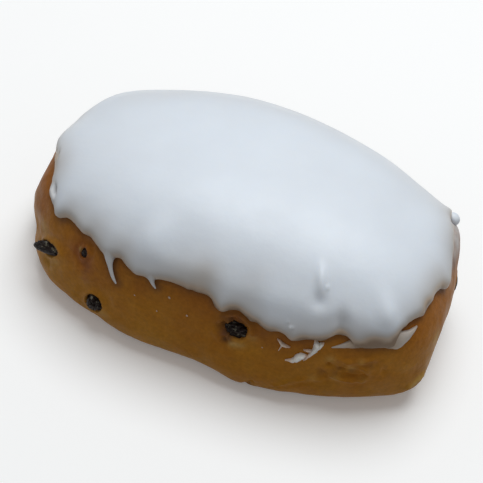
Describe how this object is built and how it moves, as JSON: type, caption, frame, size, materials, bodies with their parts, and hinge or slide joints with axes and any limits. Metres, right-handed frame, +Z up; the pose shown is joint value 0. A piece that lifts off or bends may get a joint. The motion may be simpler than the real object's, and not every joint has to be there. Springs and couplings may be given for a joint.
{
  "type": "cream iced bun",
  "caption": "Oval baked fruit bun with a thick coat of white icing that runs over its edge in drips, and currants set in its brown crust.",
  "frame": {"origin": "middle of the bun's flat base, under the middle of its box", "axes": "+Z up, +X along the length towards the blunt end, -Y towards the long side with the torn flap of icing"},
  "size_m": [0.1246, 0.0752, 0.0485],
  "materials": {
    "crust": "baked golden-brown crust with a soft satin sheen",
    "icing": "smooth set white icing, softly glossy",
    "currant": "wrinkled dark dried fruit, slightly glossy"
  },
  "bodies": {
    "root": {"bun": "crust", "icing": "icing", "currant_01": "currant", "currant_02": "currant", "currant_03": "currant", "currant_04": "currant", "currant_05": "currant", "currant_06": "currant", "currant_07": "currant", "currant_08": "currant", "currant_09": "currant", "currant_10": "currant"}
  },
  "joints": []
}
